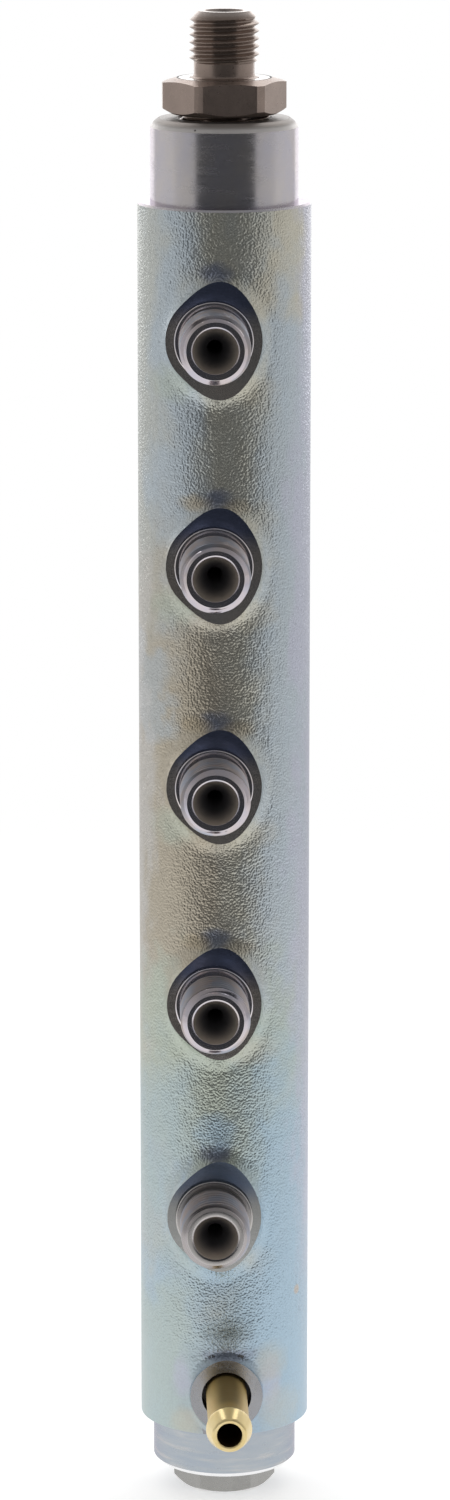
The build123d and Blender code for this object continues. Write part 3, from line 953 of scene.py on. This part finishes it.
def buildNipple(number):
    height = places["firstOutlet"] + number * places["spacing"]
    place = outOfFront(places["outletSide"], rail["collarPlane"], height)
    depth = nipple["leadIn"] + (nipple["seat"] - nipple["drill"]) / tan(coneHalf)
    drillEnd = rail["drillEnd"] - rail["collarPlane"]
    foot = (nipple["collar"], nipple["collarFoot"])
    collarEdge = (nipple["collar"], 0.0)
    shankFoot = (nipple["shank"], 0.0)
    shankTop = (nipple["shank"], nipple["threadStart"])
    threadRoot = (nipple["root"], nipple["threadStart"])
    faceEdge = (nipple["crest"] - nipple["chamfer"], nipple["tip"])
    faceCut = (nipple["crest"], nipple["tip"] - nipple["chamfer"])
    mouthEdge = (nipple["mouth"], nipple["tip"])
    seatEdge = (nipple["seat"], nipple["tip"] - nipple["leadIn"])
    coneEnd = (nipple["drill"], nipple["tip"] - depth)
    # the thread's mesh ends where the rounding of the face starts
    angle = nipple["chamferAngle"]
    threadEnd = nipple["tip"] - nipple["faceRound"] * tan(angle / 2) * cos(angle)
    firstCrest, crestStep = nipple["crestAt"]
    crestAt = (firstCrest + crestStep * number) * mm

    def build(mesh):
        screwSurface(mesh, place, nippleBlank, nipple["crest"], nipple["threadStart"], threadEnd, crestAt)
        collar = roundedCorner(foot, collarEdge, shankFoot, nipple["collarRound"])
        turnSurface(mesh, place, [foot, *collar, shankFoot, shankTop, threadRoot])
        rim = [*roundedCorner(faceEdge, mouthEdge, seatEdge, nipple["mouthRound"], steps=2),
               *roundedCorner(mouthEdge, seatEdge, coneEnd, nipple["mouthRound"], steps=2)]
        face = roundedCorner(faceCut, faceEdge, mouthEdge, nipple["faceRound"], steps=3)
        turnSurface(mesh, place, [*face, *rim])
        turnSurface(mesh, place, [rim[-1], coneEnd, (nipple["drill"], -drillEnd)], finish=1)
        bmesh.ops.remove_doubles(mesh, verts=mesh.verts, dist=weld)

    return meshPiece("nipple", build, ["nipple", "cone"])


# Rail body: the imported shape, with its five nipples made anew and its upper corner rounded
rail = {
    "journalRadius": 14.6 * mm,
    "upperShoulder": 250.0 * mm,
    "journalTop": 266.3 * mm,
    "journalCorner": [
        # radius and height, in mm
        (14.6, 264.6), (14.33, 265.03), (14.0, 265.45), (13.62, 265.8), (13.25, 266.07), (12.9, 266.3),
    ],
    "cornerSides": 128,
    "flatPlane": -17.95 * mm,
    "flatBevel": 0.12 * mm,
    "collarPlane": -19.2 * mm,
    "drillEnd": -4.9 * mm,
    "slack": 0.01 * mm,
    # bounds of the faces that get a finish of their own
    "padSide": 8 * mm,
    "padTop": 17 * mm,
    "padFront": -16 * mm,
    "padFacing": -0.95,
    "recessRadius": 5.2 * mm,
    "recessFront": -12 * mm,
    "lowEdgeTop": -9.2 * mm,
    "lowEdgeRadius": 13.4 * mm,
    "lowEdgeFacing": (-0.95, -0.3),
    "upEnd": 249.4 * mm,
    "lowEnd": 0.05 * mm,
    "endRadius": 9.7 * mm,      # wider than the threads inside both ends
    "endFace": 266.2 * mm,
    # and of those that make way for the nipples and the rounded corner
    "nippleSlack": 0.05 * mm,
    "chamferRadius": 12.85 * mm,
    "chamferHeight": 1.75 * mm,
    "chamferLeast": 1.0 * mm,
}
railFinishes = ["forged", "milled", "journal", "nipple", "bore", "pad", "edge", "recess", "corner"]


def railFinish(face):
    centre, normal = face.center, face.normal
    away = hypot(centre.x, centre.y)
    onPad = centre.z < rail["padTop"] and abs(centre.x) < rail["padSide"] and centre.y < rail["padFront"]
    if onPad and normal.y < rail["padFacing"]:
        return "pad"
    fromBarb = hypot(centre.x, centre.z - places["barbHeight"])
    if centre.y < rail["recessFront"] and fromBarb < rail["recessRadius"]:
        return "recess"
    if centre.y < rail["flatPlane"] - rail["slack"]:
        return "nipple"
    if abs(centre.y - rail["flatPlane"]) < rail["slack"]:
        return "milled"
    least, most = rail["lowEdgeFacing"]
    if centre.z < rail["lowEdgeTop"] and away > rail["lowEdgeRadius"] and least < normal.z < most:
        return "edge"
    atEnd = centre.z > rail["upEnd"] or centre.z < rail["lowEnd"]
    if centre.z > rail["endFace"] and away > rail["endRadius"]:
        return "corner"
    if atEnd and away > rail["endRadius"]:
        return "journal"
    if atEnd or (away < rail["journalRadius"] and centre.z < rail["upperShoulder"]):
        return "bore"
    return "forged"


def railUnwanted(face):
    # the nipples, and the chamfer at the top of the upper journal
    if min(v.co.y for v in face.verts) < rail["flatPlane"] - rail["nippleSlack"]:
        return True
    radii = [hypot(v.co.x, v.co.y) for v in face.verts]
    heights = [v.co.z for v in face.verts]
    chamferFoot = rail["journalTop"] - rail["chamferHeight"]
    onChamfer = min(radii) > rail["chamferRadius"] and min(heights) > chamferFoot
    return onChamfer and max(heights) - min(heights) > rail["chamferLeast"]


def bevelFlats(obj, width):
    # the thin bright edge where a flat meets the boss
    forged, milled = railFinishes.index("forged"), railFinishes.index("milled")
    mesh = bmesh.new()
    mesh.from_mesh(obj.data)
    outline = [edge for edge in mesh.edges
               if sorted(face.material_index for face in edge.link_faces) == [forged, milled]]
    bmesh.ops.bevel(mesh, geom=outline, offset=width, segments=1, affect="EDGES", material=forged,
                    clamp_overlap=True)
    mesh.to_mesh(obj.data)
    mesh.free()


def buildCorner():
    def build(mesh):
        outline = [(radius * mm, height * mm) for radius, height in rail["journalCorner"]]
        turnSurface(mesh, Matrix(), outline, sides=rail["cornerSides"])

    return meshPiece("journalCorner", build, ["corner"])


def buildRail():
    body = copyOfNode("rail_body", "railBody")
    cutAway(body, railUnwanted)
    giveFinishes(body, railFinishes, railFinish)
    bevelFlats(body, rail["flatBevel"])
    joinInto(body, [buildCorner(), *[buildNipple(number) for number in range(places["outlets"])]])
    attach(body, "rail")
    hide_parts("rail_body")


buildRail()
print("rail body built")


# Top adapter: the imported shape, with the M14 stub and the M18 shank threaded
adapter = {
    "neck": 5.95 * mm,
    "neckEnd": 277.1 * mm,
    "stubRunIn": 1.7,           # how steeply the thread rises from the neck
    "stubCrest": 6.86 * mm,
    "stubCrestAt": 281.77 * mm,   # on the side away from the spanner mark, as the photo shows
    "stubTop": 287.15 * mm,
    "stubChamfer": 1.85 * mm,
    "stubEnd": 5.2 * mm,
    "mouth": 4.0 * mm,
    "drill": 1.6 * mm,
    "socketFloor": 250.3 * mm,
    "shankStart": 254.6 * mm,
    "shankDepth": 0.6,          # of its thread, in pitches
    "shankRunIn": 1.2,
    "shankRunOut": 6,
    "shankCrest": 8.95 * mm,
    "shankCrestAt": 266.6 * mm,
    "hexBottom": 267.2 * mm,
    "hexTop": 274.15 * mm,
    "faceRing": (9.35 * mm, 6.85 * mm),   # the faced ring on top of the hexagon
    "grooveWidth": 0.4 * mm,    # the dark groove round it
    "grooveDepth": 0.16 * mm,
    "grooveSlopes": (0.08 * mm, 0.06 * mm),
    # bounds of the faces that are made anew
    "slack": 0.01 * mm,
    "boreSlack": 0.05 * mm,
    "crestSlack": 0.02 * mm,
    "shankTop": 267.3 * mm,
    "shankLeast": 1 * mm,
}


def stubBlank(along):
    runIn = adapter["neck"] + max(0.0, along - adapter["neckEnd"]) * adapter["stubRunIn"]
    slope = (adapter["stubCrest"] - adapter["stubEnd"]) / adapter["stubChamfer"]
    chamferStart = adapter["stubTop"] - adapter["stubChamfer"]
    runOut = adapter["stubCrest"] - max(0.0, along - chamferStart) * slope
    return min(adapter["stubCrest"], runIn, runOut)


def shankBlank(along):
    root = adapter["shankCrest"] - adapter["shankDepth"] * pitch
    runIn = root + max(0.0, along - adapter["shankStart"]) * adapter["shankRunIn"]
    runOut = root + max(0.0, adapter["hexBottom"] - along) * adapter["shankRunOut"]
    return min(adapter["shankCrest"], runIn, runOut)


def adapterUnwanted(face):
    low = min(v.co.z for v in face.verts)
    high = max(v.co.z for v in face.verts)
    radii = [hypot(v.co.x, v.co.y) for v in face.verts]
    onStub = low > adapter["neckEnd"] - adapter["slack"]
    inBore = max(radii) < adapter["mouth"] + adapter["boreSlack"] and high > adapter["neckEnd"]
    onShank = all(abs(r - adapter["shankCrest"]) < adapter["crestSlack"] for r in radii)
    onShank = onShank and high < adapter["shankTop"] and high - low > adapter["shankLeast"]
    onFace = low > adapter["hexTop"] - adapter["slack"] and high < adapter["hexTop"] + adapter["slack"]
    return onStub or inBore or onShank or onFace


def buildAdapter():
    body = copyOfNode("top_adapter", "topAdapter")
    cutAway(body, adapterUnwanted)
    giveFinishes(body, ["adapter"], lambda face: "adapter")
    coneEnd = adapter["stubTop"] - (adapter["mouth"] - adapter["drill"]) / tan(coneHalf)

    def buildStub(mesh):
        screwSurface(mesh, Matrix(), stubBlank, adapter["stubCrest"], adapter["neckEnd"],
                     adapter["stubTop"], adapter["stubCrestAt"])
        turnSurface(mesh, Matrix(), [
            (adapter["stubEnd"], adapter["stubTop"]),
            (adapter["mouth"], adapter["stubTop"]),
            (adapter["drill"], coneEnd),
            (adapter["drill"], adapter["socketFloor"]),
        ])
        bmesh.ops.remove_doubles(mesh, verts=mesh.verts, dist=weld)

    def buildShank(mesh):
        screwSurface(mesh, Matrix(), shankBlank, adapter["shankCrest"], adapter["shankStart"],
                     adapter["hexBottom"], adapter["shankCrestAt"])

    def buildFace(mesh):
        outer, inner = adapter["faceRing"]
        top, floor = adapter["hexTop"], adapter["hexTop"] - adapter["grooveDepth"]
        groove = outer - adapter["grooveWidth"]
        outerSlope, innerSlope = adapter["grooveSlopes"]
        turnSurface(mesh, Matrix(), [(outer, top), (outer - outerSlope, floor),
                                     (groove + innerSlope, floor), (groove, top)], finish=1)
        turnSurface(mesh, Matrix(), [(groove, top), (inner, top)])

    joinInto(body, [
        meshPiece("stubThread", buildStub, ["stub"]),
        meshPiece("shankThread", buildShank, ["stub"]),
        meshPiece("facedRing", buildFace, ["adapterTop", "recess"], sharpFrom=20.0),
    ])
    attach(body, "rail")
    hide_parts("top_adapter")


buildAdapter()
print("adapter built")


# Return barb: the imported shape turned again, with the soft edges of drawn and turned brass
barb = {
    "bore": 2.5 * mm,
    "tube": 4.15 * mm,
    "bead": 4.7 * mm,
    "tipRadius": 3.45 * mm,
    # distances from the rail's axis
    "innerEnd": 8.6 * mm,
    "beadBack": 36.15 * mm,
    "beadCrest": 37.25 * mm,
    "tip": 41.15 * mm,
    "crestRound": 0.9 * mm,
    "tipRound": 0.55 * mm,
    "boreRound": 0.25 * mm,
}


def buildBarb():
    place = outOfFront(0, 0, places["barbHeight"])
    inner = (barb["bore"], barb["innerEnd"])
    tubeEnd = (barb["tube"], barb["innerEnd"])
    back = (barb["tube"], barb["beadBack"])
    crest = (barb["bead"], barb["beadCrest"])
    tipEdge = (barb["tipRadius"], barb["tip"])
    boreEdge = (barb["bore"], barb["tip"])

    def build(mesh):
        rim = roundedCorner(tipEdge, boreEdge, inner, barb["boreRound"], steps=4)
        turnSurface(mesh, place, [
            inner, tubeEnd, back,
            *roundedCorner(back, crest, tipEdge, barb["crestRound"], steps=6),
            *roundedCorner(crest, tipEdge, boreEdge, barb["tipRound"], steps=6),
            *rim,
        ])
        turnSurface(mesh, place, [rim[-1], inner], finish=1)
        bmesh.ops.remove_doubles(mesh, verts=mesh.verts, dist=weld)

    obj = meshPiece("returnBarb", build, ["brass", "brassBore"], sharpFrom=40.0)
    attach(obj, "rail")
    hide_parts("return_barb")


buildBarb()
print("barb built")


# Closing spring: the imported shape with a finish of its own, its lower end held by the shim
def buildSpring():
    obj = copyOfNode("limiter_spring", "closingSpring")
    giveFinishes(obj, ["spring"], lambda face: "spring")
    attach(obj, "rail")
    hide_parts("limiter_spring")
    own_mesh(obj)


buildSpring()
print("spring built")

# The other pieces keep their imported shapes
carriedOver = {
    "limiter_housing": "plug",
    "limiter_seat": "hardened",
    "limiter_poppet": "hardened",
    "limiter_shim": "hardened",
    "limiter_o_ring": "rubber",
}
for nodeName, finishName in carriedOver.items():
    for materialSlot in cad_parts[nodeName].material_slots:
        materialSlot.material = finishes[finishName]
print("other pieces finished")
